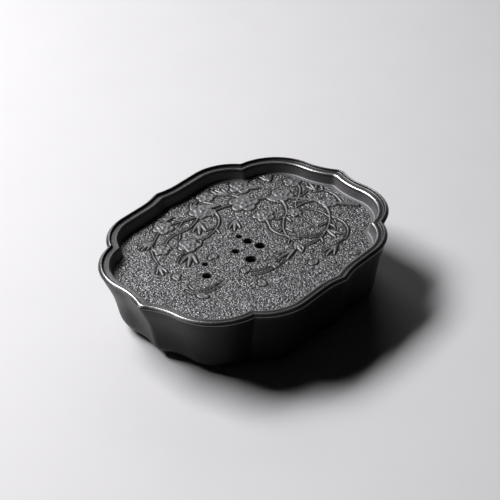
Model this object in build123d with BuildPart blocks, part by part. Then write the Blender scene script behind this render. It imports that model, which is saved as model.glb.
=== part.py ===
from build123d import *
import os
from math import sqrt, hypot

os.makedirs("parts", exist_ok=True)

# Tea tray in two castings: a drain tray that lifts off a water basin, on four rubber feet.
# X runs along the tray, Y across it, Z up. The origin is the middle of the ground it stands on.

# Plan of the rim's inner edge, one quarter, mirrored to the other three
side_half = 84.0          # middle of the tray to the straight part of a long side
side_cusp_rise = 3.2      # how far the point in a long side stands out from the straight part
side_hollow_r = 65.7      # hollow curve on each side of that point
side_lobe_x = 41.4        # where the straight part turns into the lobe
side_lobe_r = 34.5
end_lobe_x = 68.5         # centre of the end lobe
end_lobe_y = 28.2
end_lobe_r = 36.8
end_cusp_rise = 6.7       # how far the point in an end stands out from the end lobes
end_hollow_r = 61.5
tip_round = 7.0           # rounding of the points, in plan
notch_round = 2.5         # rounding of the notches, in plan

# Heights
foot_show = 3.0           # foot below the basin
body_drop = 50.4          # rim plane above the basin's underside
rim_z = foot_show + body_drop
crest_rise = 1.9          # outer ridge of the rim above its inner edge
floor_drop = 8.6          # drain floor below the rim's inner edge
floor_thick = 2.6
seat_drop = 1.0           # underside of the lip, which rests on the basin

# Rim of the drain tray: (height from the rim plane, growth of the plan outwards)
lip_grow = 7.7
lip_bands = ((-seat_drop, 7.2), (-0.3, lip_grow), (0.2, 7.6), (crest_rise, 5.3))
dish_bands = ((crest_rise, 5.0), (1.1, 4.0), (0.2, 2.2), (0.0, 0.8), (-0.5, 0.0), (-8.0, -2.7),
              (-floor_drop, -3.6))
pan_top_grow = 1.0
pan_foot_grow = -1.0
rib_grow = 2.8            # rib that centres the tray in the basin
rib_drop = 4.0
fit_gap = 0.4             # play between that rib and the basin

# Drain holes: (x, y, diameter)
drains = ((5.3, 12.2, 4.7), (4.7, 2.8, 7.0), (5.6, -8.6, 7.6), (-11.8, 1.1, 5.8),
          (-12.9, -14.8, 8.2), (-39.2, 7.9, 4.4), (-49.8, -3.2, 6.8))

# Basin wall: (height from the rim plane, growth outwards, how far the ends are drawn in)
wall_levels = ((-seat_drop, 7.1, 0.0), (-12.0, 4.1, 1.6), (-24.0, 1.4, 3.6), (-37.0, -0.7, 4.8),
               (-45.0, -2.7, 4.9), (-49.0, -6.0, 4.9), (-body_drop, -9.5, 4.9))
land_drop = 5.2           # upright land inside the mouth that takes the rib
hollow_levels = ((-land_drop, 3.2, 0.3), (-18.0, -0.1, 2.5), (-43.0, -4.7, 4.9), (-47.0, -9.5, 4.9))
mouth_over = 1.0          # cutters start this far above the face they open

# Feet
foot_x = 58.0
foot_y = 44.0
foot_r = 8.0
foot_pocket = 1.0         # depth of the foot's seat in the basin
foot_gap = 0.15           # glue gap round the foot
foot_edge = 0.8           # chamfer round the tread


def side_centre():
    """Centre of the hollow curve beside a long side's point, and where it meets the straight."""
    reach = sqrt(2 * side_hollow_r * side_cusp_rise - side_cusp_rise * side_cusp_rise)
    return reach, side_half + side_hollow_r


def end_centre(draw):
    """Centre of the hollow curve beside an end's point."""
    reach = sqrt(2 * end_hollow_r * end_cusp_rise - end_cusp_rise * end_cusp_rise)
    return end_lobe_x + end_lobe_r - draw + end_hollow_r, reach


def notch_centre(grow, draw):
    """Centre of the cove that rounds the inward corner between the side lobe and the end lobe."""
    ax, ay, ar = side_lobe_x, side_half - side_lobe_r, side_lobe_r + grow + notch_round
    bx, by, br = end_lobe_x - draw, end_lobe_y, end_lobe_r + grow + notch_round
    span = hypot(bx - ax, by - ay)
    along = (ar * ar - br * br + span * span) / (2 * span)
    off = sqrt(ar * ar - along * along)
    ux, uy = (bx - ax) / span, (by - ay) / span
    return ax + along * ux - off * uy, ay + along * uy + off * ux


def toward(centre, other, radius):
    """Point at a radius from one centre, on the line to another centre."""
    k = radius / hypot(other[0] - centre[0], other[1] - centre[1])
    return centre[0] + k * (other[0] - centre[0]), centre[1] + k * (other[1] - centre[1])


def short_arc(centre, start, end):
    """Arc from start to end round a centre, the short way."""
    middle = ((start[0] + end[0]) / 2, (start[1] + end[1]) / 2)
    radius = hypot(start[0] - centre[0], start[1] - centre[1])
    ThreePointArc(start, toward(centre, middle, radius), end)


def quarter(grow, draw):
    """Edges of one quarter of the lobed plan, from the long side's point to the end's point."""
    side_c, end_c = side_centre(), end_centre(draw)
    lobe_a, lobe_b = (side_lobe_x, side_half - side_lobe_r), (end_lobe_x - draw, end_lobe_y)
    side_r, end_r = side_hollow_r - grow, end_hollow_r - grow
    tip_a = (0, side_c[1] - sqrt((side_r + tip_round) ** 2 - side_c[0] ** 2))
    tip_b = (end_c[0] - sqrt((end_r + tip_round) ** 2 - end_c[1] ** 2), 0)
    cove = notch_centre(grow, draw)
    side_y, end_x = side_half + grow, end_lobe_x + end_lobe_r + grow - draw
    in_a, out_a = toward(side_c, tip_a, side_r), toward(lobe_a, cove, side_lobe_r + grow)
    in_b, out_b = toward(end_c, tip_b, end_r), toward(lobe_b, cove, end_lobe_r + grow)
    short_arc(tip_a, (0, tip_a[1] + tip_round), in_a)
    short_arc(side_c, in_a, (side_c[0], side_y))
    Line((side_c[0], side_y), (side_lobe_x, side_y))
    short_arc(lobe_a, (side_lobe_x, side_y), out_a)
    short_arc(cove, out_a, out_b)
    short_arc(lobe_b, out_b, (end_x, end_lobe_y))
    Line((end_x, end_lobe_y), (end_x, end_c[1]))
    short_arc(end_c, (end_x, end_c[1]), in_b)
    short_arc(tip_b, in_b, (tip_b[0] + tip_round, 0))


def lobed(height, grow, draw=0):
    """Lobed face at a height from the rim plane."""
    with BuildSketch(Plane.XY.offset(rim_z + height)) as plan:
        with BuildLine():
            quarter(grow, draw)
            mirror(about=Plane.YZ)
            mirror(about=Plane.XZ)
        make_face()
    return plan.sketch


def bands(levels, mode):
    """Straight bands between neighbouring levels."""
    for low, high in zip(levels, levels[1:]):
        loft([lobed(*low), lobed(*high)], ruled=True, mode=mode)


with BuildPart() as drain_tray:
    bands(lip_bands, Mode.ADD)
    bands(((-floor_drop - floor_thick, pan_foot_grow), (-rib_drop, pan_top_grow)), Mode.ADD)
    bands(((-rib_drop, rib_grow), (-seat_drop, rib_grow)), Mode.ADD)
    bands(dish_bands, Mode.SUBTRACT)
    with BuildSketch(Plane.XY.offset(rim_z - floor_drop + mouth_over)):
        for x, y, bore in drains:
            with Locations((x, y)):
                Circle(bore / 2)
    extrude(amount=-floor_thick - 2 * mouth_over, mode=Mode.SUBTRACT)
drain_tray.part.label = "drain_tray"

with BuildPart() as water_basin:
    bands(wall_levels, Mode.ADD)
    bands(hollow_levels, Mode.SUBTRACT)
    land = rib_grow + fit_gap
    bands(((-land_drop, land), (-seat_drop + mouth_over, land)), Mode.SUBTRACT)
    with BuildSketch(Plane.XY.offset(foot_show)):
        with GridLocations(2 * foot_x, 2 * foot_y, 2, 2):
            Circle(foot_r + foot_gap)
    extrude(amount=foot_pocket, mode=Mode.SUBTRACT)
water_basin.part.label = "water_basin"

export_step(drain_tray.part, "parts/drain_tray.step")
export_step(water_basin.part, "parts/water_basin.step")


def foot_solid(x, y):
    """Round rubber foot with a chamfered tread."""
    with Locations((x, y)):
        Cylinder(foot_r, foot_show + foot_pocket, align=(Align.CENTER, Align.CENTER, Align.MIN))
    chamfer(edges().group_by(Axis.Z)[0], foot_edge)


with BuildPart() as foot_back_right:
    foot_solid(foot_x, foot_y)
foot_back_right.part.label = "foot_back_right"

with BuildPart() as foot_back_left:
    foot_solid(-foot_x, foot_y)
foot_back_left.part.label = "foot_back_left"

with BuildPart() as foot_front_right:
    foot_solid(foot_x, -foot_y)
foot_front_right.part.label = "foot_front_right"

with BuildPart() as foot_front_left:
    foot_solid(-foot_x, -foot_y)
foot_front_left.part.label = "foot_front_left"

export_step(foot_back_right.part, "parts/foot_back_right.step")
export_step(foot_back_left.part, "parts/foot_back_left.step")
export_step(foot_front_right.part, "parts/foot_front_right.step")
export_step(foot_front_left.part, "parts/foot_front_left.step")
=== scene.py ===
# %% [markdown]
# # A cast tea tray, dressed for its portrait
# The object is a gongfu tea tray in two black castings: a shallow drain tray with a carved, pebbled
# floor, and the deep water basin that it lifts off. The measured solids are loaded first and stay
# where they are. Everything else is modelled round them in metres, in the same place.

# %% Load the measured solids
import math
import bmesh
import bpy
from mathutils import Matrix, Vector


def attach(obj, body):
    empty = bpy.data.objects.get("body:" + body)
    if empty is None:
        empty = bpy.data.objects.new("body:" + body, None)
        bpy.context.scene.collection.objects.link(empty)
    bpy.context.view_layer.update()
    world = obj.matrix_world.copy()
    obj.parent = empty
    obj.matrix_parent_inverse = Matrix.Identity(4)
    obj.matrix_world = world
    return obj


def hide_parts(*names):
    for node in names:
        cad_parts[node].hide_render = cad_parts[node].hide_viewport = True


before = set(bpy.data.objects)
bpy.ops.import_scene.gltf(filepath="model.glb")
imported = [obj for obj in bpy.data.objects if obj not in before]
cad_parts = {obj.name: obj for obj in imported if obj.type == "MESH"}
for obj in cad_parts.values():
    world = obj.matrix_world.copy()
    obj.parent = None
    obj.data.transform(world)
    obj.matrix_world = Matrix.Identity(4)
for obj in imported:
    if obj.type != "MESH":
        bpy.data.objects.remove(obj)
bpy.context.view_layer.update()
MM = 0.001
print("solids:", sorted(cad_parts))

# %% [markdown]
# ## Where the camera stands
# A long lens looks down at the tray across one of its corners, so both the carved floor and the
# flared wall show. The camera is aimed by turning it round the middle of the rim. Guessing its
# place by hand works too, but a turn, a height and a reach are easier to correct one at a time.

# %% Camera
RIM_Z = 53.4 * MM
rim_middle = Vector((0, 0, RIM_Z))
camera_turn = math.radians(-49.2)
camera_height = math.radians(33.26)
camera_roll = math.radians(-1.57)
camera_reach = 1.2128
sensor_width, focal_length = 36, 115.2
frame_shift = (0.0066, -0.0296)
sight_limit = 20

back = Vector((
    math.sin(camera_turn) * math.cos(camera_height),
    -math.cos(camera_turn) * math.cos(camera_height),
    math.sin(camera_height),
))
aim = (-back).to_track_quat("-Z", "Y") @ Matrix.Rotation(camera_roll, 3, "Z").to_quaternion()
bpy.ops.object.select_all(action="DESELECT")
bpy.ops.object.camera_add(location=rim_middle + back * camera_reach, rotation=aim.to_euler())
camera = bpy.context.object
camera.data.sensor_width = sensor_width
camera.data.lens = focal_length
camera.data.shift_x, camera.data.shift_y = frame_shift
camera.data.clip_end = sight_limit
bpy.context.scene.camera = camera
bpy.context.scene.view_settings.view_transform = "Standard"
print("camera at", [round(c, 3) for c in camera.location])

# %% [markdown]
# ## Soft light from the window side
# A wide soft lamp stands to the left and a little behind, as a window would. Its light rakes over
# the carved floor and throws the soft shadow to the right. A weak one straight behind the tray
# gives the satin lacquer something pale to mirror. The room is nearly dark, so the shadow stays
# deep. Small lamps would make hard sparkles.

# %% Lamps
ROOM_TINT, ROOM_LEVEL = (0.9, 0.9, 1, 1), 0.004


def soft_lamp(name, turn, height, reach, size, power):
    """A flat lamp that looks at the tray from a turn and height in degrees."""
    a, e = math.radians(turn), math.radians(height)
    away = Vector((math.sin(a) * math.cos(e), -math.cos(a) * math.cos(e), math.sin(e)))
    bpy.ops.object.light_add(type="AREA", location=away * reach,
                             rotation=(-away).to_track_quat("-Z", "Y").to_euler())
    lamp = bpy.context.object
    lamp.name = name
    lamp.data.shape = "RECTANGLE"
    lamp.data.size, lamp.data.size_y = size
    lamp.data.energy = power
    return lamp


soft_lamp("window", turn=-169, height=48, reach=2.4, size=(1.5, 0.75), power=66)
soft_lamp("back_glow", turn=-226, height=30, reach=1.8, size=(1.0, 0.5), power=3)
world = bpy.data.worlds.new("room")
bpy.context.scene.world = world
world.use_nodes = True
world.node_tree.nodes["Background"].inputs["Color"].default_value = ROOM_TINT
world.node_tree.nodes["Background"].inputs["Strength"].default_value = ROOM_LEVEL

# %% [markdown]
# ## The outline, drawn once
# Tray and basin share one lobed plan: a small point in the middle of each side, hollow curves
# beside it, and two lobes that meet in a notch at each corner. It is all circular arcs and short
# straight runs, so one rule gives it for any growth outwards. Drawing a spline by eye would drift
# from the solids.

# %% Lobed plan
# Inner edge of the rim in millimetres, one quarter: the middle of the tray is the origin
SIDE_HALF, SIDE_RISE, SIDE_HOLLOW = 84.0, 3.2, 65.7
SIDE_LOBE_X, SIDE_LOBE_R = 41.4, 34.5
END_LOBE_X, END_LOBE_Y, END_LOBE_R = 68.5, 28.2, 36.8
END_RISE, END_HOLLOW = 6.7, 61.5
TIP_ROUND, NOTCH_ROUND = 7.0, 2.5
ARC_STEPS = (5, 12, 10, 22, 8, 26, 2, 16, 6)  # points on each stretch of a quarter


def toward(centre, other, radius):
    """The point at a radius from one centre, on the line to another."""
    share = radius / math.dist(centre, other)
    return tuple(c + share * (o - c) for c, o in zip(centre, other))


def along(centre, start, end, steps):
    """Points from start to just before end, on an arc, or on a line where no centre is given."""
    if centre is None:
        return [tuple(p + (q - p) * i / steps for p, q in zip(start, end)) for i in range(steps)]
    a = math.atan2(start[1] - centre[1], start[0] - centre[0])
    b = math.atan2(end[1] - centre[1], end[0] - centre[0])
    b += round((a - b) / math.tau) * math.tau
    radius = math.dist(centre, start)
    turns = [a + (b - a) * i / steps for i in range(steps)]
    return [(centre[0] + radius * math.cos(t), centre[1] + radius * math.sin(t)) for t in turns]


def crossing(a, ra, b, rb):
    """Where two circles cross, on the side away from the middle of the tray."""
    span = math.dist(a, b)
    near = (ra * ra - rb * rb + span * span) / (2 * span)
    off = math.sqrt(ra * ra - near * near)
    ux, uy = (b[0] - a[0]) / span, (b[1] - a[1]) / span
    return a[0] + near * ux - off * uy, a[1] + near * uy + off * ux


def plan_quarter(grow, draw):
    """One quarter of the plan, in millimetres, from the long side's point to the end's point."""
    lobe_x = END_LOBE_X - draw
    side_c = (math.sqrt(2 * SIDE_HOLLOW * SIDE_RISE - SIDE_RISE ** 2), SIDE_HALF + SIDE_HOLLOW)
    end_c = (lobe_x + END_LOBE_R + END_HOLLOW, math.sqrt(2 * END_HOLLOW * END_RISE - END_RISE ** 2))
    lobe_a, lobe_b = (SIDE_LOBE_X, SIDE_HALF - SIDE_LOBE_R), (lobe_x, END_LOBE_Y)
    ra, rb, la, lb = SIDE_HOLLOW - grow, END_HOLLOW - grow, SIDE_LOBE_R + grow, END_LOBE_R + grow
    tip_a = (0, side_c[1] - math.sqrt((ra + TIP_ROUND) ** 2 - side_c[0] ** 2))
    tip_b = (end_c[0] - math.sqrt((rb + TIP_ROUND) ** 2 - end_c[1] ** 2), 0)
    cove = crossing(lobe_a, la + NOTCH_ROUND, lobe_b, lb + NOTCH_ROUND)
    corners = [
        (0, tip_a[1] + TIP_ROUND), toward(side_c, tip_a, ra), (side_c[0], SIDE_HALF + grow),
        (SIDE_LOBE_X, SIDE_HALF + grow), toward(lobe_a, cove, la), toward(lobe_b, cove, lb),
        (lobe_x + lb, END_LOBE_Y), (lobe_x + lb, end_c[1]), toward(end_c, tip_b, rb),
        (tip_b[0] + TIP_ROUND, 0),
    ]
    centres = (tip_a, side_c, None, lobe_a, cove, lobe_b, None, end_c, tip_b)
    points = []
    for centre, start, end, steps in zip(centres, corners, corners[1:], ARC_STEPS):
        points += along(centre, start, end, steps)
    return points + corners[-1:]


def lobed_plan(grow, draw=0.0):
    """The whole plan, from the far side's point round by the left end, in metres."""
    q = plan_quarter(grow, draw)
    left = [(-x, y) for x, y in q[:-1]] + [(-x, -y) for x, y in q[:0:-1]]
    right = [(x, -y) for x, y in q[:-1]] + [(x, y) for x, y in q[:0:-1]]
    return [(x * MM, y * MM) for x, y in left + right]


print("points round the plan:", len(lobed_plan(0)))

# %% [markdown]
# ## Pulling a casting
# Both castings are made alike: one ring is drawn on the plan and pulled out again and again, each
# new ring at its own height and growth, and the first and last are filled. A bevelled curve would
# be quicker, but its section would pinch at the four notches, where this one keeps its width. Each
# point also keeps how far hands have rubbed it, which the lacquer reads later and paints lighter,
# partly as wear and partly as a painted highlight.

# %% Rings pulled along a section
# Crest, bead and lip: growth of the polished line, its half width, how far it is polished
# The polished lines are also painted highlight lines, lighter along the crest and the bead.
RIM_POLISH_AND_HIGHLIGHT = ((5.6, 0.8, 1.0), (-0.5, 1.1, 1.0), (7.6, 0.5, 0.4))
POLISH_HIGHLIGHT_DEPTH = -0.8


def place_ring(mesh, height, grow, draw=0.0):
    """Puts the selected ring's points on the plan, at a height from the rim plane."""
    plan = lobed_plan(grow, draw)
    work = bmesh.from_edit_mesh(mesh)
    number = work.verts.layers.int["step"]
    for point in work.verts:
        if point.select:
            point.co = (*plan[point[number]], RIM_Z + height * MM)
    bmesh.update_edit_mesh(mesh)


def rubbed_and_highlit(height, grow):
    """How far hands polished a ring, painted lighter as a highlight: most on crest and bead, less on
    lip.
    """
    if height < POLISH_HIGHLIGHT_DEPTH:
        return 0.0
    return max(much * max(0.0, 1 - abs(grow - middle) / width)
               for middle, width, much in RIM_POLISH_AND_HIGHLIGHT)


def pulled_casting(name, section):
    """A closed casting: a ring pulled along the section, with its first and last ring filled."""
    around = len(lobed_plan(0))
    bpy.ops.object.select_all(action="DESELECT")
    bpy.ops.mesh.primitive_circle_add(vertices=around, radius=1)
    piece = bpy.context.object
    piece.name = piece.data.name = name
    piece.data.attributes.new("step", "INT", "POINT").data.foreach_set("value", range(around))
    bpy.ops.object.mode_set(mode="EDIT")
    bpy.ops.mesh.select_all(action="SELECT")
    place_ring(piece.data, *section[0])
    bpy.ops.mesh.extrude_edges_move()
    bpy.ops.mesh.select_all(action="INVERT")
    bpy.ops.mesh.edge_face_add()
    bpy.ops.mesh.select_all(action="INVERT")
    place_ring(piece.data, *section[1])
    for level in section[2:]:
        bpy.ops.mesh.extrude_edges_move()
        place_ring(piece.data, *level)
    bpy.ops.mesh.edge_face_add()
    bpy.ops.mesh.select_all(action="SELECT")
    bpy.ops.mesh.normals_make_consistent(inside=False)
    bpy.ops.object.mode_set(mode="OBJECT")
    piece.data.attributes.new("wear_and_highlight", "FLOAT", "POINT").data.foreach_set("value", [
        rubbed_and_highlit(*section[i // around][:2]) for i in range(len(piece.data.vertices))])
    return piece


def eased(levels, steps):
    """More levels on a smooth curve through the given ones."""
    levels = [tuple(level) for level in levels]
    padded = [levels[0]] + levels + [levels[-1]]
    curve = []
    for a, b, c, d in zip(padded, padded[1:], padded[2:], padded[3:]):
        for i in range(steps):
            t = i / steps
            curve.append(tuple(
                q + 0.5 * t * (r - p + t * (2 * p - 5 * q + 4 * r - s + t * (3 * (q - r) + s - p)))
                for p, q, r, s in zip(a, b, c, d)))
    return curve + levels[-1:]


# %% [markdown]
# ## The drain tray's casting
# The rim has a small bead along its inner edge, a groove beside it, a crest, and a short outer lip.
# Inside, the wall leans in to a narrow smooth ledge that frames the carved floor. Under it sits the
# shallow pan with the rib that centres it in the basin. The section is written down stretch by
# stretch, so that each can be corrected alone; one bevel over a square rim would round them alike.

# %% Rim and pan
# Height from the rim plane and growth outwards in millimetres, from under the pan to the floor's edge
PAN = ((-11.2, -1.8), (-11.0, -1.2), (-10.6, -0.95), (-4.0, 1.0))
RIB = ((-4.0, 2.5), (-3.7, 2.8), (-1.0, 2.8))
LIP = ((-1.0, 6.9), (-0.85, 7.35), (-0.6, 7.6), (-0.35, 7.7), (-0.12, 7.64), (0.1, 7.48))
CREST = ((0.4, 7.19), (0.9, 6.66), (1.36, 6.17), (1.62, 5.85), (1.79, 5.52), (1.87, 5.17),
         (1.8, 4.86), (1.58, 4.62), (1.2, 4.42))
GROOVE = ((0.7, 4.25), (0.3, 4.02), (0.06, 3.7), (-0.02, 3.3), (0.03, 2.8), (0.16, 2.1), (0.3, 1.4))
BEAD = ((0.41, 0.75), (0.44, 0.3), (0.38, -0.02), (0.24, -0.32), (0.02, -0.64), (-0.26, -0.95),
        (-0.62, -1.2))
INNER_WALL = ((-1.2, -1.42), (-2.2, -1.65), (-5.0, -2.15), (-7.2, -2.6), (-7.8, -2.8))
LEDGE = ((-8.15, -3.05), (-8.35, -3.5), (-8.4, -4.3), (-8.3, -5.1), (-8.25, -5.5), (-8.35, -5.85),
         (-8.7, -6.05), (-9.4, -6.1))
casting = pulled_casting("drain_tray_casting",
                         PAN + RIB + LIP + CREST + GROOVE + BEAD + INNER_WALL + LEDGE)
print("drain tray casting:", len(casting.data.polygons), "faces")

# %% [markdown]
# ## The water basin's casting
# The basin flares from a flat base to the full lobed outline, with its ends drawn in a little as it
# goes down. A softened top edge leaves a thin dark line under the tray's lip, as two castings that
# only rest on each other show. It is open inside, with an upright land that takes the tray's rib.
# A few levels are given and a smooth curve finds the rest, because a flare drawn ring by ring would
# show every small slip as a dent.

# %% Basin wall and hollow
# Height from the rim plane, growth outwards, and how far the ends are drawn in, in millimetres
WALL = ((-1.6, 7.0, 0.0), (-8.0, 5.2, 0.9), (-15.1, 3.2, 2.1), (-22.2, 1.7, 3.4), (-29.2, 0.5, 4.3),
        (-36.4, -0.6, 4.8), (-43.4, -2.0, 4.9), (-47.4, -4.2, 4.9), (-49.5, -6.9, 4.9),
        (-50.4, -9.6, 4.9))
MOUTH = ((-1.22, 6.86, 0.0), (-1.05, 6.6, 0.0), (-1.0, 6.2, 0.0), (-1.0, 3.5, 0.0),
         (-1.3, 3.2, 0.0), (-5.1, 3.2, 0.0))
HOLLOW = ((-5.2, 3.2, 0.3), (-18.0, -0.1, 2.5), (-30.0, -2.35, 3.8), (-42.0, -4.6, 4.85),
          (-45.4, -7.1, 4.9), (-47.0, -10.5, 4.9))
LEVEL_STEPS = 4
basin_section = eased(WALL, LEVEL_STEPS)[::-1] + list(MOUTH) + eased(HOLLOW, LEVEL_STEPS)
basin = pulled_casting("water_basin_casting", basin_section)
print("water basin casting:", len(basin.data.polygons), "faces")

# %% [markdown]
# ## Drain holes and foot seats
# Tea runs into the basin through a few round holes of several sizes, scattered along the picture.
# They are cut with plain round cutters, as a drill would, after the form is finished. The same
# cutters sink the shallow seats under the basin that the rubber feet are glued in.

# %% Round cutters
# Drains: place and bore in millimetres. Feet: their places and the bore of their seats
DRAINS = ((5.3, 12.2, 4.7), (4.7, 2.8, 7.0), (5.6, -8.6, 7.6), (-11.8, 1.1, 5.8),
          (-12.9, -14.8, 8.2), (-39.2, 7.9, 4.4), (-49.8, -3.2, 6.8))
FOOT_X, FOOT_Y, FOOT_BORE = 58, 44, 16.3
FEET = tuple((x, y, FOOT_BORE) for x in (-FOOT_X, FOOT_X) for y in (-FOOT_Y, FOOT_Y))
BASE_Z = 3.0 * MM
DRILL_SIDES, DRAIN_DEPTH, SEAT_DEPTH = 40, 20, 2


def drills(holes, middle, depth):
    """Round cutters (x, y, bore) joined to one, round a middle height."""
    bpy.ops.object.select_all(action="DESELECT")
    made = []
    for x, y, bore in holes:
        bpy.ops.mesh.primitive_cylinder_add(
            vertices=DRILL_SIDES, radius=bore / 2 * MM, depth=depth * MM,
            location=(x * MM, y * MM, middle))
        made.append(bpy.context.object)
    for drill in made:
        drill.select_set(True)
    bpy.ops.object.join()
    bpy.ops.object.transform_apply(location=True, rotation=True, scale=True)
    return bpy.context.object


def carve(piece, cutter, way):
    """Applies a boolean and throws the cutter away."""
    bpy.ops.object.select_all(action="DESELECT")
    bpy.context.view_layer.objects.active = piece
    piece.select_set(True)
    cut = piece.modifiers.new("carve", "BOOLEAN")
    cut.operation, cut.object, cut.solver = way, cutter, "EXACT"
    bpy.ops.object.modifier_apply(modifier=cut.name)
    bpy.data.objects.remove(cutter)


def drain_drills():
    """Cutters for all the drains, long enough to pass through floor and pan."""
    return drills(DRAINS, RIM_Z - DRAIN_DEPTH / 2 * MM, DRAIN_DEPTH)


carve(casting, drain_drills(), "DIFFERENCE")
carve(basin, drills(FEET, BASE_Z, SEAT_DEPTH), "DIFFERENCE")
print("cut castings:", len(casting.data.polygons), len(basin.data.polygons), "faces")

# %% [markdown]
# ## Tools for the pattern stamps
# The carved picture is built as a pattern-maker would: petals, leaves, buds and stems are modelled
# once, copied, and laid out on a board. The floor is then pressed over them. Modelling the whole
# picture in one mesh would be far harder to lay out and change. A petal or a leaf starts as a flat
# disc, is stepped in and up, and is softened at the end.

# %% Shaping tools
FLOOR_Z = RIM_Z - 8.6 * MM


def disc(steps, radius):
    """A flat filled disc in edit mode, all selected."""
    bpy.ops.object.select_all(action="DESELECT")
    bpy.ops.mesh.primitive_circle_add(vertices=steps, radius=radius * MM, fill_type="NGON")
    bpy.ops.object.mode_set(mode="EDIT")
    return bpy.context.object


def step_in(width, rise):
    """Insets the selected face and lifts the new one."""
    bpy.ops.mesh.inset(thickness=width * MM)
    bpy.ops.transform.translate(value=(0, 0, rise * MM))


def soften(piece, levels):
    """Leaves edit mode and applies a subdivision surface."""
    bpy.ops.object.mode_set(mode="OBJECT")
    rounding = piece.modifiers.new("rounding", "SUBSURF")
    rounding.levels = rounding.render_levels = levels
    bpy.ops.object.modifier_apply(modifier=rounding.name)
    return piece


def grab_points(piece, rule):
    """Selects the edit-mode points that a rule picks."""
    work = bmesh.from_edit_mesh(piece.data)
    for point in work.verts:
        point.select_set(rule(point.co))
    work.select_flush(True)
    bmesh.update_edit_mesh(piece.data)


def sink(depth):
    """Lowers the whole stamp a little, so that its edge meets the board."""
    bpy.ops.mesh.select_all(action="SELECT")
    bpy.ops.transform.translate(value=(0, 0, -depth * MM))


print("floor plane at", round(FLOOR_Z / MM, 2), "mm")

# %% [markdown]
# ## Petal, leaf and bud
# A petal is a cupped disc with a narrow foot. A leaf is a long pointed disc whose midrib is sunk
# after a cut along it. A bud is a ball drawn out at one side. They have a few faces each before
# they are softened, which keeps the curves clean. Sculpted ones would be heavier and no truer.

# %% Petal, leaf and bud
# Sizes in millimetres; the steps are inset and rise
PETAL_R, PETAL_FOOT, PETAL_MIDDLE, PETAL_SUNK = 2.4, 1.2, 2.5, 0.15
PETAL_STEPS = ((0.2, 0.75), (0.45, 0.1), (0.7, -0.6))
LEAF_HALF, LEAF_WIDE, LEAF_BODY, LEAF_SUNK = 9.5, 1.6, 7.5, 0.12
LEAF_STEPS = ((0.25, 0.75), (0.45, 0.2))
MIDRIB_START, MIDRIB_END, MIDRIB_SUNK = 1, 17.5, 0.5
BUD_R, BUD_TIP = 1.0, 0.5


def petal():
    """A cupped petal, its foot at the origin and its tip along X."""
    piece = disc(14, PETAL_R)
    bpy.ops.transform.translate(value=(PETAL_MIDDLE * MM, 0, 0))
    for width, rise in PETAL_STEPS:
        step_in(width, rise)
    sink(PETAL_SUNK)
    grab_points(piece, lambda p: p.x < PETAL_FOOT * MM)
    bpy.ops.transform.resize(value=(1, 0.55, 1))
    return soften(piece, 2)


def leaf():
    """A long pointed leaf with a sunk midrib, its stalk end at the origin."""
    piece = disc(16, 1.0)
    bpy.ops.transform.resize(value=(LEAF_HALF, LEAF_WIDE, 1))
    bpy.ops.transform.translate(value=(LEAF_HALF * MM, 0, 0))
    grab_points(piece, lambda p: abs(p.x - LEAF_HALF * MM) > LEAF_BODY * MM)
    bpy.ops.transform.resize(value=(1, 0.4, 1))
    grab_points(piece, lambda p: True)
    for width, rise in LEAF_STEPS:
        step_in(width, rise)
    sink(LEAF_SUNK)
    bpy.ops.mesh.bisect(plane_co=(0, 0, 0), plane_no=(0, 1, 0))
    grab_points(piece, lambda p: abs(p.y) < 0.01 * MM
                and MIDRIB_START * MM < p.x < MIDRIB_END * MM)
    bpy.ops.transform.translate(value=(0, 0, -MIDRIB_SUNK * MM))
    return soften(piece, 2)


def bud():
    """A round bud or stamen head at the origin."""
    bpy.ops.object.select_all(action="DESELECT")
    bpy.ops.mesh.primitive_uv_sphere_add(segments=14, ring_count=8, radius=BUD_R * MM)
    piece = bpy.context.object
    bpy.ops.object.mode_set(mode="EDIT")
    grab_points(piece, lambda p: p.x > BUD_TIP * MM)
    bpy.ops.transform.resize(value=(1.3, 0.6, 0.8))
    return soften(piece, 1)


masters = {"petal": petal(), "leaf": leaf(), "bud": bud()}
for piece in masters.values():
    piece.location.z = -1
print({name: len(piece.data.polygons) for name, piece in masters.items()})

# %% [markdown]
# ## Laying a blossom
# A stamp is laid on the board as a copy with its own mesh, turned and sized. A blossom is one or
# two rings of five petals round a boss of stamens, so it is a short rule that lays stamps.
# Particles could scatter them too, but not where the picture needs them.

# %% Blossoms from stamps
PETALS, INNER_SHRINK, INNER_LIFT = 5, 0.4, 0.32
STAMENS, STAMEN_TURN, STAMEN_REACH, STAMEN_SIZE = 7, 51.4, 2.0, 0.5
stamps = []


def press(kind, x, y, turn, size=1.0, wide=1.0, tall=1.0, lift=0.0):
    """Lays one copy of a stamp, with its own mesh, on the board. Millimetres and degrees."""
    mesh = masters[kind].data.copy()
    mesh.transform(Matrix.Translation((x * MM, y * MM, FLOOR_Z + lift * MM))
                   @ Matrix.Rotation(math.radians(turn), 4, "Z")
                   @ Matrix.Diagonal((size, size * wide, tall, 1)))
    copy = bpy.data.objects.new(kind, mesh)
    bpy.context.collection.objects.link(copy)
    stamps.append(copy)


def blossom(x, y, size, turn, rings=2):
    """A five-petalled blossom, double when it has two rings, with a boss of stamens."""
    for ring in range(rings):
        for i in range(PETALS):
            press("petal", x, y, turn + 72 * i + 36 * ring, size * (1 - INNER_SHRINK * ring),
                  wide=0.92, tall=0.9, lift=INNER_LIFT * ring)
    press("bud", x, y, 0, size * 0.75, tall=0.5, lift=0.45 + 0.2 * rings)
    for i in range(STAMENS):
        a, reach = math.radians(turn + STAMEN_TURN * i), STAMEN_REACH * size
        press("bud", x + reach * math.cos(a), y + reach * math.sin(a), 0, STAMEN_SIZE, tall=0.4,
              lift=0.5 + 0.25 * (rings - 1))


print("stamps at hand:", sorted(masters))

# %% [markdown]
# ## Stems, leaves and ripples
# A stem is a curve with a round bevel that tapers along its length. Leaves sit on it in pairs or
# fan out at its end, and a ripple is a short curved stem. Pulling a stem out face by face would
# look the same, but a curve is bent again in a moment.

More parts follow.
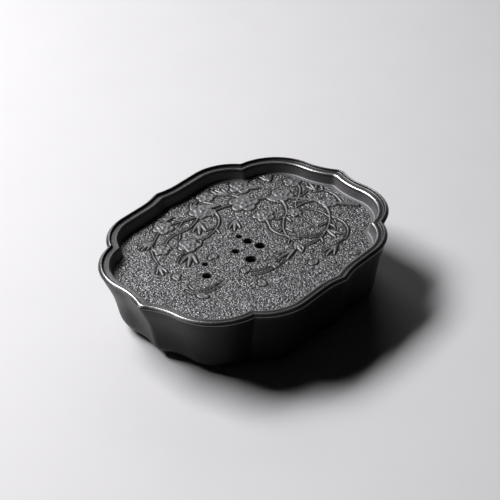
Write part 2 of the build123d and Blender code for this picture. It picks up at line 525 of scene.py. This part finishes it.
# %% Stems and what they bear
STEM_SIDES, STEM_STEPS, STEM_RISE = 3, 14, 0.8
LEAF_PAIR, SPRAY_TAPER = (-44, 44), 0.35
RIPPLE_STEP, RIPPLE_FLAT, RIPPLE_THICK, RIPPLE_THIN = 18, 0.7, 0.55, 0.35


def stem(points, thick, thin):
    """A tapering, slightly flat stem along points in millimetres, half sunk in the board."""
    bpy.ops.object.select_all(action="DESELECT")
    bpy.ops.curve.primitive_bezier_curve_add()
    piece = bpy.context.object
    path = piece.data.splines[0]
    path.bezier_points.add(len(points) - 2)
    for i, ((x, y), knot) in enumerate(zip(points, path.bezier_points)):
        knot.co = (x * MM, y * MM, 0)
        knot.handle_left_type = knot.handle_right_type = "AUTO"
        knot.radius = thick + (thin - thick) * i / (len(points) - 1)
    piece.data.bevel_depth = MM
    piece.data.bevel_resolution = STEM_SIDES
    piece.data.resolution_u = STEM_STEPS
    piece.data.use_fill_caps = True
    bpy.ops.object.convert(target="MESH")
    piece = bpy.context.object
    piece.data.transform(Matrix.Translation((0, 0, FLOOR_Z))
                         @ Matrix.Diagonal((1, 1, STEM_RISE, 1)))
    stamps.append(piece)


def spray(x, y, turn, spread, count, size):
    """Leaves that fan out from the end of a twig."""
    for i in range(count):
        share = i / max(1, count - 1) - 0.5
        press("leaf", x, y, turn + spread * share, size * (1 - SPRAY_TAPER * abs(share)),
              wide=0.95, tall=0.9, lift=0.1 * (i % 3))


def side_leaves(points, size):
    """Small leaves in pairs along a stem, halfway between its knots."""
    for (x, y), (ahead_x, ahead_y) in zip(points, points[1:]):
        turn = math.degrees(math.atan2(ahead_y - y, ahead_x - x))
        for side in LEAF_PAIR:
            press("leaf", (x + ahead_x) / 2, (y + ahead_y) / 2, turn + side, size, wide=0.9,
                  tall=0.8)


def loose_petal(x, y, turn):
    """Two narrow petals that fell side by side."""
    press("petal", x, y, turn, 2.0, wide=0.55, tall=0.8)
    press("petal", x, y, turn + 34, 1.5, wide=0.5, tall=0.8)


def ripple(x, y, radius, first, last):
    """Part of a flattened ring on the water, from one turn to another."""
    turns = [math.radians(t) for t in range(first, last + 1, RIPPLE_STEP)]
    stem([(x + radius * math.cos(t), y + RIPPLE_FLAT * radius * math.sin(t)) for t in turns],
         RIPPLE_THICK, RIPPLE_THIN)


print("a ripple bends every", RIPPLE_STEP, "degrees")

# %% [markdown]
# ## Laying out the picture
# A blossoming branch comes in from the right end and spreads over the far half of the floor. Long
# shoots curl back from it, with small leaves in pairs along the thicker ones. More leaves fan out
# at their ends, and loose petals and ripples lie near the drains. The places are lists in
# millimetres, because a picture is composed and moved about until it sits well.

# %% The branch and what it bears
# Stems: knots, thickness at the root, thickness at the tip
STEMS = (
    (((98, -34), (86, -12), (76, 10), (60, 31), (36, 46), (8, 55), (-18, 66)), 1.6, 0.8),
    (((84, -9), (72, -24), (54, -35), (34, -38), (18, -33)), 1.1, 0.5),
    (((68, 21), (56, 6), (42, -2), (30, -14), (26, -26)), 1.0, 0.45),
    (((50, 39), (46, 58), (36, 70)), 1.0, 0.5),
    (((76, 10), (90, 20), (96, 32)), 1.0, 0.5),
    (((22, 52), (12, 38), (-6, 31), (-26, 33)), 1.0, 0.45),
    (((92, -22), (99, -6), (97, 10)), 0.9, 0.45),
    (((8, 55), (-8, 50), (-30, 52), (-44, 46)), 0.9, 0.45),
    (((72, -24), (70, -40), (58, -52), (42, -54)), 0.8, 0.4),
    (((60, 4), (71, -12), (66, -32), (50, -46)), 0.7, 0.35),
    (((90, 12), (70, 8), (57, -8), (52, -26)), 0.7, 0.35),
    (((36, 10), (27, -6), (33, -24), (47, -34), (64, -36)), 0.8, 0.35),
    (((-18, 66), (-34, 62), (-52, 50), (-62, 34)), 0.7, 0.35),
)
# Blossoms: place, size, turn, rings of petals
BLOSSOMS = (
    (72, 24, 2.1, 10, 2), (44, 40, 2.6, 40, 2), (14, 58, 2.2, 0, 2), (86, -12, 1.6, 55, 1),
    (62, 58, 2.2, 25, 2), (-22, 66, 1.8, 12, 2), (32, 70, 1.6, 50, 1), (93, 30, 1.6, 33, 1),
    (-28, 34, 1.9, 20, 2), (40, 16, 1.9, 64, 2), (-46, 46, 1.4, 44, 1), (58, 0, 1.3, 8, 1),
)
# Sprays: place, turn, spread, leaves, size
SPRAYS = (
    (18, -33, 172, 44, 3, 1.0), (26, -26, 238, 34, 3, 0.85), (54, -35, 266, 30, 2, 0.9),
    (30, 52, 130, 46, 3, 1.0), (2, 50, 222, 40, 3, 1.0), (82, 44, 62, 52, 4, 0.9),
    (-6, 70, 160, 34, 3, 0.9), (78, 2, 152, 40, 2, 0.9), (60, 30, 300, 36, 3, 0.9),
    (-34, 26, 214, 48, 3, 1.05), (94, 6, 64, 50, 3, 0.75), (46, 56, 96, 44, 3, 0.85),
    (-40, 58, 172, 44, 4, 0.9), (42, -54, 188, 40, 3, 0.9), (22, 30, 218, 38, 3, 0.9),
    (70, 44, 122, 36, 3, 0.8), (-62, 34, 236, 40, 3, 0.8), (10, 66, 20, 40, 3, 0.8),
)
# Loose petals: place, turn. Ripples: place, radius, first and last turn
LOOSE_PETALS = ((-30, -24, 30), (-4, -36, 140), (-64, 18, 250), (-32, -46, 80), (8, -56, 10),
                (-24, 12, 200), (-74, -14, 300))
RIPPLES = ((-54, -6, 15, 150, 300), (-54, -6, 20, 170, 280), (-6, -18, 21, 200, 330),
           (-6, -18, 27, 215, 310), (-40, 20, 13, 40, 150))
LEAFY, SIDE_LEAF = 0.85, 0.5
for points, thick, thin in STEMS:
    stem(points, thick, thin)
    if thick > LEAFY:
        side_leaves(points[1:], SIDE_LEAF)
for flower in BLOSSOMS:
    blossom(*flower)
for fan in SPRAYS:
    spray(*fan)
for petals in LOOSE_PETALS:
    loose_petal(*petals)
for ring in RIPPLES:
    ripple(*ring)
print("stamps on the board:", len(stamps))

# %% [markdown]
# ## Pressing the floor
# A fine square mesh is let down on the stamps like a sheet of wax. Where it meets none it takes the
# level of the floor. Sculpting by hand would give the same, but not twice.

# %% Wax sheet on the board
HALF_X, HALF_Y, CELL = 0.110, 0.0855, 0.6 * MM
COLUMNS, ROWS = round(2 * HALF_X / CELL), round(2 * HALF_Y / CELL)
BOARD_SIZE, SHEET_START = 0.3, FLOOR_Z + 8 * MM
for piece in masters.values():
    bpy.data.objects.remove(piece)
bpy.ops.object.select_all(action="DESELECT")
bpy.ops.mesh.primitive_plane_add(size=BOARD_SIZE, location=(0, 0, FLOOR_Z))
board = bpy.context.object
for stamp in stamps:
    stamp.select_set(True)
bpy.ops.object.join()
bpy.ops.object.transform_apply(location=True, rotation=True, scale=True)

bpy.ops.object.select_all(action="DESELECT")
bpy.ops.mesh.primitive_grid_add(x_subdivisions=COLUMNS, y_subdivisions=ROWS, size=2,
                                location=(0, 0, SHEET_START))
carved = bpy.context.object
carved.name = carved.data.name = "carved_floor"
carved.scale = (HALF_X, HALF_Y, 1)
bpy.ops.object.transform_apply(location=True, rotation=True, scale=True)
drop = carved.modifiers.new("let_down", "SHRINKWRAP")
drop.wrap_method, drop.target = "PROJECT", board
drop.use_project_z, drop.use_negative_direction, drop.use_positive_direction = True, True, False
bpy.ops.object.modifier_apply(modifier=drop.name)
bpy.data.objects.remove(board)
print("sheet:", COLUMNS, "by", ROWS, "cells")

# %% [markdown]
# ## A moat round every motif
# On the real casting each motif has an undercut edge that falls into shade. Here every flat cell
# beside a raised one is sunk a little, the more the nearer it is, and the same cells are kept for
# the lacquer, which paints them near black as shade. The ground away from motif and moat is marked
# for the pebbles. A light smoothing then rounds the corners that a sand casting would round. A
# bevel would need clean edges, which the sheet lacks.

# %% Moat and ground
PROUD, FLAT = 0.25, 0.12
MOAT_DEPTH, MOAT_CALM, MOAT_FADE, MOAT_REACH = 0.38, 0.75, 12, 3
MOTIF_GRAIN, MOTIF_START = 0.08, 0.15
EASE = 0.5
around_cell = range(-MOAT_REACH, MOAT_REACH + 1)
moat_cells = [(i, j) for i in around_cell for j in around_cell
              if i * i + j * j <= MOAT_REACH ** 2]


def cell_of(point):
    """Column and row of a floor point."""
    return (round((point.x + HALF_X) / (2 * HALF_X) * COLUMNS),
            round((point.y + HALF_Y) / (2 * HALF_Y) * ROWS))


raised = {cell_of(p.co): (p.co.z - FLOOR_Z) / MM for p in carved.data.vertices}
moat_and_shade = {}
for (i, j), height in raised.items():
    if height > PROUD:
        for di, dj in moat_cells:
            near = (i + di, j + dj)
            if raised.get(near, 1) < FLAT:
                moat_and_shade[near] = max(moat_and_shade.get(near, 0), 1 - (di * di + dj * dj) / MOAT_FADE)
ground = carved.vertex_groups.new(name="ground")
pebbled = {}
for point in carved.data.vertices:
    cell = cell_of(point.co)
    sunk = moat_and_shade.get(cell, 0)
    point.co.z -= MOAT_DEPTH * MM * sunk
    pebbled[cell] = max(MOTIF_GRAIN, 1 - raised[cell] / MOTIF_START) * (1 - MOAT_CALM * sunk)
    ground.add([point.index], pebbled[cell], "REPLACE")
ease = carved.modifiers.new("ease", "SMOOTH")
ease.factor, ease.iterations = EASE, 1
bpy.ops.object.modifier_apply(modifier=ease.name)
print("floor mesh:", len(carved.data.vertices), "points, moat", len(moat_and_shade))

# %% [markdown]
# ## Pebbled ground
# Between the motifs the floor is covered with fine pebbles, as a pattern-maker gets by punching the
# ground with a blunt point. Two cell textures raise them, one for the pebbles and one for clusters
# of them, and a cloud makes the whole floor slightly uneven. Round each drain the ground is calm
# and dips to the bore. Separate pebbles would number thousands and look the same.

# %% Pebbles
# Grain of the ground: name, texture, size and depth in millimetres
PEBBLE = 1.2
GRAINS = (("pebbles", "VORONOI", PEBBLE, -0.9), ("clusters", "VORONOI", 2.2, -0.1),
          ("swell", "CLOUDS", 6.0, 0.08))
GRAIN_MIDDLE = 0.45
DRAIN_CALM, DRAIN_RISE, DRAIN_ROUND = 1.3, 0.15, 0.6


def past_drain(point):
    """Distance in millimetres from a floor point to the edge of the nearest drain."""
    return min(math.dist(point.co.xy, (x * MM, y * MM)) / MM - bore / 2 for x, y, bore in DRAINS)


for name, kind, size, depth in GRAINS:
    grain = bpy.data.textures.new(name, kind)
    grain.noise_scale = size * MM
    raise_up = carved.modifiers.new(name, "DISPLACE")
    raise_up.texture, raise_up.texture_coords = grain, "LOCAL"
    raise_up.direction, raise_up.strength = "Z", depth * MM
    raise_up.mid_level = GRAIN_MIDDLE
    raise_up.vertex_group = "ground"
    bpy.ops.object.modifier_apply(modifier=raise_up.name)
for point in carved.data.vertices:
    calm = max(0.0, min(1.0, past_drain(point) / DRAIN_CALM))
    level = FLOOR_Z + (DRAIN_RISE - DRAIN_ROUND * (1 - calm)) * MM
    point.co.z += (level - point.co.z) * min(1, 2 - 2 * calm)
print("floor from", round(min(p.co.z for p in carved.data.vertices) / MM, 2), "to",
      round(max(p.co.z for p in carved.data.vertices) / MM, 2), "mm")

# %% [markdown]
# ## Trimming the floor to the tray
# The pressed sheet gets an underside and is cut to the lobed outline and the drains by one drilled
# trimmer, so its edge runs exactly under the ledge of the casting. Deleting the faces outside the
# outline would be quicker but leave a ragged edge. Two values are then stored for the lacquer:
# where the picture or a drain's plain ring is, and the moats and drain edges to paint as shade.

# %% Trim
SKIRT = 6
UNDERSIDE = FLOOR_Z - SKIRT * MM
TRIM_GROW, TRIM_LOW, TRIM_HIGH = -5.9, -9.38, -5
# A drain's plain ring, and the thin ring at its edge that gets painted shade.
RING_PLAIN, RING_SHADE = 0.7, 0.35
bpy.ops.object.mode_set(mode="EDIT")
bpy.ops.mesh.select_all(action="DESELECT")
bpy.ops.mesh.select_mode(type="EDGE")
bpy.ops.mesh.select_non_manifold()
bpy.ops.mesh.extrude_edges_move(TRANSFORM_OT_translate={"value": (0, 0, -SKIRT * MM)})
bpy.ops.transform.resize(value=(1, 1, 0), center_override=(0, 0, UNDERSIDE))
bpy.ops.mesh.edge_face_add()
bpy.ops.mesh.select_all(action="SELECT")
bpy.ops.mesh.normals_make_consistent(inside=False)
bpy.ops.mesh.select_mode(type="VERT")
bpy.ops.object.mode_set(mode="OBJECT")
trimmer = pulled_casting("trimmer", ((TRIM_LOW, TRIM_GROW), (TRIM_HIGH, TRIM_GROW)))
carve(trimmer, drain_drills(), "DIFFERENCE")
carve(carved, trimmer, "INTERSECT")
carved.vertex_groups.clear()
picture = carved.data.attributes.new("picture", "FLOAT", "POINT")
picture.data.foreach_set("value", [
    1.0 if past_drain(p) < RING_PLAIN else 1 - pebbled.get(cell_of(p.co), 1)
    for p in carved.data.vertices])
# Painted shade: moats and a thin ring at each drain's edge, made near black by the lacquer.
shade = carved.data.attributes.new("moat_and_shade", "FLOAT", "POINT")
shade.data.foreach_set("value", [
    1.0 if past_drain(p) < RING_SHADE else moat_and_shade.get(cell_of(p.co), 0)
    for p in carved.data.vertices])
print("carved floor:", len(carved.data.polygons), "faces")

# %% [markdown]
# ## Building materials from nodes
# Each surface is worked out by nodes in the piece's own coordinates, so no image is painted and the
# grain keeps its real size; where shade, highlight or falloff is painted, nodes paint it. A short
# helper adds a node and wires it in one line. Painted pictures would tie the looks to one unwrapping.

# %% Node helpers
def plug(material, made, inputs):
    """Sets or wires the inputs of a node."""
    for name, value in inputs.items():
        if isinstance(value, bpy.types.NodeSocket):
            material.node_tree.links.new(value, made.inputs[name])
        else:
            made.inputs[name].default_value = value


def node(material, kind, inputs=None, **settings):
    """A new shader node with its settings; its inputs are set, or wired if a socket is given."""
    made = material.node_tree.nodes.new(kind)
    for name, value in settings.items():
        setattr(made, name, value)
    plug(material, made, inputs or {})
    return made


def blank(name):
    """A new node material, its shader, and the piece's own coordinates."""
    material = bpy.data.materials.new(name)
    material.use_nodes = True
    place = node(material, "ShaderNodeTexCoord").outputs["Object"]
    return material, material.node_tree.nodes["Principled BSDF"], place


print("materials so far:", len(bpy.data.materials))

# %% [markdown]
# ## Patterns, tints and dents
# Every finish below is put together from the same few steps: a cloudy pattern, a value stretched to
# another range, two colours blended, and a fine dent in the surface. Naming the steps keeps each
# finish readable. The same could be wired by hand in the node editor, but a change would then have
# to be made in four places.

# %% Finishing helpers
def noise(material, place, grain, detail=3.0):
    """Cloudy noise from 0 to 1; the grain is the size of its clouds in millimetres."""
    return node(material, "ShaderNodeTexNoise",
                {"Vector": place, "Scale": 1 / (grain * MM), "Detail": detail}).outputs[0]


def remap(material, value, low, high, to_low, to_high):
    """Stretches a value from one range to another and stops at the ends."""
    return node(material, "ShaderNodeMapRange", {
        "Value": value, "From Min": low, "From Max": high, "To Min": to_low, "To Max": to_high,
    }).outputs[0]


def blend(material, share, first, second):
    """A colour between two others."""
    return node(material, "ShaderNodeMixRGB",
                {"Fac": share, "Color1": first, "Color2": second}).outputs[0]


def combine(material, way, first, second):
    """Two values added, multiplied or compared."""
    return node(material, "ShaderNodeMath", {0: first, 1: second}, operation=way).outputs[0]


def scaled(material, colour, share):
    """A colour times a value."""
    return node(material, "ShaderNodeVectorMath", {0: colour, "Scale": share},
                operation="SCALE").outputs["Vector"]


def level_of(material, place, axis="Z"):
    """One coordinate of a place, its height if no other is asked for."""
    return node(material, "ShaderNodeSeparateXYZ", {"Vector": place}).outputs[axis]


def stored(material, name):
    """A value that was stored on the mesh's points."""
    return node(material, "ShaderNodeAttribute", attribute_name=name).outputs["Fac"]


def dented(material, height, strength, depth, under=None):
    """A bumped normal; the depth is in millimetres."""
    below = {"Normal": under} if under else {}
    return node(material, "ShaderNodeBump", {
        "Height": height, "Strength": strength, "Distance": depth * MM, **below}).outputs[0]


print("patterns and dents are sized in units of", MM, "m")

# %% [markdown]
# ## Satin lacquer on cast metal
# The castings are black with a soft sheen. The cast skin shows through as a fine orange peel, and
# the lacquer is a little duller and paler in broad patches. Along the crest and the bead hands have
# polished it, which the wear stored on the mesh picks out; there the lacquer is painted much lighter,
# partly as wear and partly as a painted highlight line. The tray's lacquer is metallic and its inner
# wall duller and paler than the open rim; the basin's is a plain dark satin. One gloss black for both
# would look like plastic.

# %% Lacquer
DUST = (0.02, 0.02, 0.02, 1)
WALL_TOP, WALL_SHADE = RIM_Z - 0.8 * MM, RIM_Z - 2.2 * MM
WORN_POLISH = 0.08


def lacquer(name, sheen, dull, peel, metal, shine, dark, light, bare_and_highlit, pale):
    """Lacquer over a cast skin: dark to light in patches, bare and painted highlit where rubbed, pale
    lower down.
    """
    material, shader, place = blank(name)
    patches = noise(material, place, grain=26, detail=5)
    skin = noise(material, place, grain=1.1)
    dust = noise(material, place, grain=0.8, detail=2)
    worn_and_highlit = combine(material, "MULTIPLY", stored(material, "wear_and_highlight"),
                   remap(material, patches, 0.3, 0.6, 0.6, 1))
    wall = remap(material, level_of(material, place), WALL_SHADE, WALL_TOP, 1, 0)
    black = blend(material, remap(material, patches, 0.3, 0.7, 0, 1), dark, light)
    black = blend(material, remap(material, dust, 0.35, 0.7, 0.35, 0), black, DUST)
    # Rubbed polish, which also paints the crest and bead highlight lines much lighter.
    black = blend(material, worn_and_highlit, black, bare_and_highlit)
    black = blend(material, wall, black, pale)
    rough = combine(material, "ADD", remap(material, patches, 0.3, 0.7, sheen - 0.04, sheen + 0.05),
                    remap(material, skin, 0.35, 0.65, -0.03, 0.04))
    rough = combine(material, "ADD", rough, combine(material, "MULTIPLY", wall, dull))
    rough = combine(material, "SUBTRACT", rough, combine(material, "MULTIPLY", worn_and_highlit, WORN_POLISH))
    plug(material, shader, {
        "Base Color": black, "Roughness": rough, "Normal": dented(material, skin, peel, 0.2),
        "Metallic": metal, "Specular IOR Level": shine})
    return material


tray_lacquer = lacquer(
    "tray_lacquer", sheen=0.36, dull=0.22, peel=0.8, metal=0.9, shine=0.5,
    dark=(0.09, 0.088, 0.092, 1), light=(0.13, 0.126, 0.131, 1),
    bare_and_highlit=(0.52, 0.512, 0.52, 1), pale=(0.26, 0.253, 0.262, 1))
basin_lacquer = lacquer(
    "basin_lacquer", sheen=0.37, dull=0.0, peel=0.35, metal=0.0, shine=0.18,
    dark=(0.0045, 0.0036, 0.0032, 1), light=(0.0085, 0.0068, 0.006, 1),
    bare_and_highlit=(0.05, 0.048, 0.047, 1), pale=(0.006, 0.005, 0.0046, 1))
print("lacquers:", tray_lacquer.name, basin_lacquer.name)

# %% [markdown]
# ## The carved floor's lacquer
# On the floor the hollows between the pebbles are painted dark as shade and their tops lighter,
# so height drives the brightness. A cell texture of the pebbles' own size gives each its own tone,
# painted shade in the gap round it and a fine dent, since a mesh that fine would be too heavy. The
# motifs are a smoother mid grey; their moats and the drains' edges are painted near black as shade.

# %% Floor lacquer
PEBBLE_GREYS = ((0.66, 0.644, 0.668, 1), (0.76, 0.741, 0.769, 1))
MOTIF_GREYS = ((0.16, 0.156, 0.162, 1), (0.25, 0.244, 0.252, 1))
# Painted shade: near black for the hollows between pebbles, and for the moats and drain edges.
HOLLOW_PAINTED_SHADE, MOAT_PAINTED_SHADE = (0.03, 0.03, 0.03, 1), (0.004, 0.004, 0.004, 1)
HOLLOW_LEVEL, TOP_LEVEL = FLOOR_Z - 0.45 * MM, FLOOR_Z + 0.35 * MM
FLOOR_METAL = 0.85


def floor_lacquer():
    """Lacquer painted dark as shade and rougher in the hollows, lighter and smoother on what stands
    up.
    """
    material, shader, place = blank("floor_lacquer")
    top = remap(material, level_of(material, place), HOLLOW_LEVEL, TOP_LEVEL, 0, 1)
    smooth, moat_shade = stored(material, "picture"), stored(material, "moat_and_shade")
    open_ground = combine(material, "SUBTRACT", 1.0, combine(material, "MAXIMUM", smooth, moat_shade))
    patches = noise(material, place, grain=30, detail=4)
    grit = noise(material, place, grain=0.5, detail=2)
    cells = node(material, "ShaderNodeTexVoronoi", {"Vector": place, "Scale": 1 / (PEBBLE * MM)})
    gap_shade_and_dent = cells.outputs["Distance"]
    own = node(material, "ShaderNodeSeparateColor", {"Color": cells.outputs["Color"]}).outputs[0]

    pebbles = blend(material, remap(material, patches, 0.3, 0.7, 0, 1), *PEBBLE_GREYS)
    # Painted shade: the hollows between pebbles go near black, the tops keep their grey.
    pebbles = blend(material, top, HOLLOW_PAINTED_SHADE, pebbles)
    # Painted shade: each pebble darkens towards the gap round it, over its own random tone.
    pebbles = scaled(material, pebbles, combine(
        material, "MULTIPLY", remap(material, own, 0.1, 0.9, 0.5, 1.25),
        remap(material, gap_shade_and_dent, 0.3, 0.65, 1.05, 0.25)))
    motif = blend(material, remap(material, grit, 0.35, 0.65, 0, 1), *MOTIF_GREYS)
    colour = blend(material, open_ground, motif, pebbles)
    # Painted shade: moats and drain edges go almost black.
    colour = blend(material, remap(material, moat_shade, 0.2, 0.8, 0, 0.95), colour, MOAT_PAINTED_SHADE)

    rough = combine(material, "ADD", remap(material, top, 0, 1, 0.52, 0.42),
                    remap(material, smooth, 0, 1, 0, 0.1))
    rough = combine(material, "ADD", rough, remap(material, grit, 0.3, 0.7, -0.05, 0.05))
    fine = dented(material, gap_shade_and_dent, remap(material, open_ground, 0, 1, 0.1, 0.8), -0.6)
    plug(material, shader, {
        "Base Color": colour, "Roughness": rough, "Metallic": FLOOR_METAL,
        "Normal": dented(material, grit, 0.5, 0.12, under=fine)})
    return material


carved_lacquer = floor_lacquer()
print("floor lacquer nodes:", len(carved_lacquer.node_tree.nodes))

# %% [markdown]
# ## Rubber and paper
# The feet are matt moulded rubber, greyer where they rub. The sweep under the tray is smooth pale
# paper with a faint tooth, and a painted light falloff makes it a little darker away from the window.
# Both take only a few nodes, but plain colours would look flat beside the lacquer.

# %% Feet and sweep
# Painted light falloff: the paper's colour is made darker away from the window, as the lamp's light
# falls off.
PAPER_WHITE, PAPER_LIGHT_FALLOFF = (0.885, 0.871, 0.893), (-0.4, 0.17, 0)
LIGHT_FALLOFF_LIMIT = 0.3
SWEEP_SIZE = 12


def moulded_rubber():
    """Dull dark rubber with a fine tooth."""
    material, shader, place = blank("foot_rubber")
    clouds = noise(material, place, grain=4, detail=4)
    fine = noise(material, place, grain=0.6, detail=2)
    plug(material, shader, {
        "Base Color": blend(material, remap(material, clouds, 0.3, 0.7, 0, 1),
                            (0.013, 0.013, 0.013, 1), (0.03, 0.03, 0.03, 1)),
        "Roughness": remap(material, clouds, 0.3, 0.7, 0.65, 0.85),
        "Specular IOR Level": 0.25, "Normal": dented(material, fine, 0.6, 0.1)})
    return material


def sweep_paper():
    """Pale paper with a faint tooth and a painted light falloff: darker away from the window side."""
    material, shader, place = blank("pale_paper")
    clouds = noise(material, place, grain=60, detail=4)
    fine = noise(material, place, grain=0.6, detail=2)
    # Painted light falloff: brighter towards the window side, darker away from it, toned down a
    # little far along +Y.
    painted_falloff = node(material, "ShaderNodeVectorMath", {0: place, 1: PAPER_LIGHT_FALLOFF},
                operation="DOT_PRODUCT").outputs["Value"]
    painted_falloff = remap(material, painted_falloff, -LIGHT_FALLOFF_LIMIT, LIGHT_FALLOFF_LIMIT, -LIGHT_FALLOFF_LIMIT, LIGHT_FALLOFF_LIMIT)
    painted_far_falloff = remap(material, level_of(material, place, "Y"), 0.2, 0.6, 0, -0.07)
    painted_falloff = combine(material, "ADD", painted_falloff, painted_far_falloff)
    tone_and_falloff = combine(material, "ADD", combine(material, "ADD", painted_falloff, 1.0),
                   remap(material, clouds, 0.3, 0.7, -0.008, 0.008))
    plug(material, shader, {
        "Base Color": scaled(material, PAPER_WHITE, tone_and_falloff), "Roughness": 0.9,
        "Specular IOR Level": 0.1, "Normal": dented(material, fine, 0.15, 0.1)})
    return material


rubber, paper = moulded_rubber(), sweep_paper()
bpy.ops.object.select_all(action="DESELECT")
bpy.ops.mesh.primitive_plane_add(size=SWEEP_SIZE, location=(0, 0, 0))
sweep = bpy.context.object
sweep.name = "sweep"
sweep.data.materials.append(paper)
print("sweep paper under the tray:", SWEEP_SIZE, "m square")

# %% [markdown]
# ## Dressing the pieces
# Every piece gets its material and follows its body, and the solid it stands for is hidden.
# Smoothing by angle keeps the cut edges crisp and the pulled walls soft; one smooth shade for all
# would blur the drains' edges.

# %% Materials, bodies and slots
SLOT_LOOKS = {"tray_lacquer": tray_lacquer, "basin_lacquer": basin_lacquer, "foot_rubber": rubber}
NODE_SLOTS = {"drain_tray": "tray_lacquer", "water_basin": "basin_lacquer"}
CAST_ANGLE, PEBBLE_ANGLE = 38, 75
for name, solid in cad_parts.items():
    solid.data.materials.clear()
    solid.data.materials.append(SLOT_LOOKS[NODE_SLOTS.get(name, "foot_rubber")])
for piece, look, body, slot, solid, sharp in (
        (casting, tray_lacquer, "tray", "tray_lacquer", "drain_tray", CAST_ANGLE),
        (carved, carved_lacquer, "tray", "tray_lacquer", "drain_tray", PEBBLE_ANGLE),
        (basin, basin_lacquer, "basin", "basin_lacquer", "water_basin", CAST_ANGLE)):
    piece.data.materials.clear()
    piece.data.materials.append(look)
    bpy.ops.object.select_all(action="DESELECT")
    piece.select_set(True)
    bpy.context.view_layer.objects.active = piece
    bpy.ops.object.shade_smooth_by_angle(angle=math.radians(sharp))
    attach(piece, body)
    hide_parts(solid)
print("dressed:", [o.name for o in (casting, carved, basin)])
